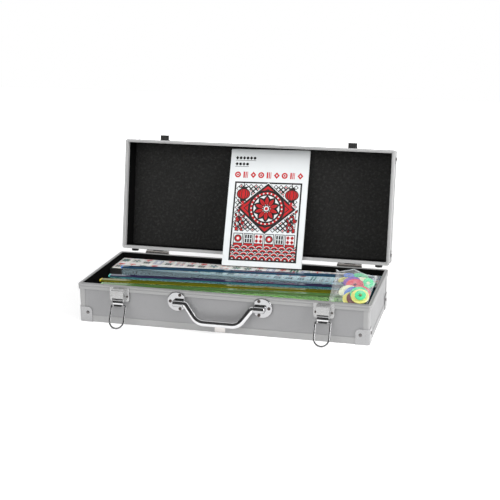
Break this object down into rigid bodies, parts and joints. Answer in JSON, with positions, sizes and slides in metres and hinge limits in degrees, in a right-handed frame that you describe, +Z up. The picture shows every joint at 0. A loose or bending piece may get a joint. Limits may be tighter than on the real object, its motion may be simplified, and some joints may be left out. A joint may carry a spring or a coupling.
{
  "type": "mahjong case",
  "caption": "Flat aluminium-framed carrying case, lid leaning open, holding tiles, leaning acrylic racks, a booklet and a bag of ring counters.",
  "frame": {"origin": "centre of the base's underside, where the closed or open case rests on a table", "axes": "+X along the case to the right seen from the handle side, +Y to the hinges at the rear, +Z up"},
  "size_m": [0.5008, 0.3199, 0.2801],
  "materials": {
    "brushed_aluminium": "satin",
    "silver_panel": "satin",
    "chrome_steel": "polished",
    "black_lining": "matte",
    "charcoal_foam": "matte",
    "black_board": "matte",
    "black_rubber": "matte",
    "white_tile": "gloss",
    "blue_acrylic": "gloss",
    "teal_acrylic": "gloss",
    "amber_acrylic": "gloss",
    "green_acrylic": "gloss",
    "printed_card": "satin",
    "page_paper": "matte",
    "bright_wire": "satin",
    "clear_film": "gloss",
    "coloured_counter": "gloss"
  },
  "bodies": {
    "base": {"base_front_panel": "silver_panel", "base_right_panel": "silver_panel", "base_rear_panel": "silver_panel", "base_left_panel": "silver_panel", "base_front_rim": "brushed_aluminium", "base_right_rim": "brushed_aluminium", "base_rear_rim": "brushed_aluminium", "base_left_rim": "brushed_aluminium", "base_edge_frame": "brushed_aluminium", "base_corner_posts": "brushed_aluminium", "base_corner_caps": "chrome_steel", "base_rivets": "chrome_steel", "base_bottom_board": "silver_panel", "base_lining": "black_lining", "base_trim_clip": "brushed_aluminium", "divider_board": "black_board", "rack_pads": "charcoal_foam", "base_rear_feet": "black_rubber", "hinge_base_leaves": "chrome_steel", "hinge_pins": "chrome_steel", "hardware_packings": "black_rubber", "latch_plates": "chrome_steel", "latch_housings": "chrome_steel", "latch_axles": "chrome_steel", "latch_screws": "chrome_steel", "handle_rosettes": "chrome_steel", "rosette_screws": "chrome_steel", "tiles_bottom_layer": "white_tile", "tiles_middle_layer": "white_tile", "tiles_top_layer": "white_tile"},
    "lid": {"lid_front_panel": "silver_panel", "lid_right_panel": "silver_panel", "lid_rear_panel": "silver_panel", "lid_left_panel": "silver_panel", "lid_rim_frame": "brushed_aluminium", "lid_edge_frame": "brushed_aluminium", "lid_corner_posts": "brushed_aluminium", "lid_corner_caps": "chrome_steel", "lid_rivets": "chrome_steel", "lid_top_board": "silver_panel", "lid_foam": "charcoal_foam", "lid_side_lining": "black_lining", "lid_rear_feet": "black_rubber", "hinge_lid_leaves": "chrome_steel", "lid_catches": "chrome_steel"},
    "left_lever": {"left_latch_lever": "chrome_steel"},
    "right_lever": {"right_latch_lever": "chrome_steel"},
    "left_loop": {"left_latch_loop": "chrome_steel"},
    "right_loop": {"right_latch_loop": "chrome_steel"},
    "handle": {"handle_grip": "chrome_steel"},
    "booklet": {"booklet_cover": "printed_card", "booklet_pages": "page_paper", "booklet_staples": "bright_wire"},
    "bag": {"counter_bag": "clear_film", "counters": "coloured_counter"},
    "green_rack": {"rack_green": "green_acrylic"},
    "amber_rack": {"rack_amber": "amber_acrylic"},
    "teal_rack": {"rack_teal": "teal_acrylic"},
    "blue_rack": {"rack_blue": "blue_acrylic"}
  },
  "joints": [
    {"name": "lid_hinge", "type": "hinge", "parent": "base", "child": "lid", "pos_m": [0, 0.1065, 0.067], "axis": [1, 0, 0], "range_deg": [0, 101.14]},
    {"name": "left_lever_pivot", "type": "hinge", "parent": "base", "child": "left_lever", "pos_m": [-0.1745, -0.1091, 0.046], "axis": [1, 0, 0], "range_deg": [-80, 0]},
    {"name": "left_loop_pivot", "type": "hinge", "parent": "left_lever", "child": "left_loop", "pos_m": [-0.1745, -0.1077, 0.036], "axis": [-1, 0, 0], "range_deg": [0, 151.4]},
    {"name": "right_lever_pivot", "type": "hinge", "parent": "base", "child": "right_lever", "pos_m": [0.1745, -0.1091, 0.046], "axis": [1, 0, 0], "range_deg": [-80, 0]},
    {"name": "right_loop_pivot", "type": "hinge", "parent": "right_lever", "child": "right_loop", "pos_m": [0.1745, -0.1077, 0.036], "axis": [-1, 0, 0], "range_deg": [0, 151.4]},
    {"name": "handle_pivot", "type": "hinge", "parent": "base", "child": "handle", "pos_m": [0, -0.1085, 0.048], "axis": [-1, 0, 0], "range_deg": [0, 110]},
    {"name": "booklet_lift", "type": "slide", "parent": "base", "child": "booklet", "axis": [0, -0.9771, 0.2127], "range_m": [0, 1.536]},
    {"name": "bag_lift", "type": "slide", "parent": "base", "child": "bag", "axis": [0, 0, -1], "range_m": [-0.35, 0]},
    {"name": "green_rack_lift", "type": "slide", "parent": "base", "child": "green_rack", "axis": [0, 0, -1], "range_m": [-0.2315, 0]},
    {"name": "amber_rack_lift", "type": "slide", "parent": "base", "child": "amber_rack", "axis": [0, 0, -1], "range_m": [-0.1755, 0]},
    {"name": "teal_rack_lift", "type": "slide", "parent": "base", "child": "teal_rack", "axis": [0, 0, -1], "range_m": [-0.123, 0]},
    {"name": "blue_rack_lift", "type": "slide", "parent": "base", "child": "blue_rack", "axis": [0, 0, -1], "range_m": [-0.0705, 0]}
  ],
  "couplings": [
    {"joint": "booklet_lift", "follows": "lid_hinge", "m_per_rad": 0.8699},
    {"joint": "green_rack_lift", "follows": "bag_lift", "ratio": 0.66},
    {"joint": "amber_rack_lift", "follows": "bag_lift", "ratio": 0.5},
    {"joint": "teal_rack_lift", "follows": "bag_lift", "ratio": 0.35},
    {"joint": "blue_rack_lift", "follows": "bag_lift", "ratio": 0.2}
  ]
}
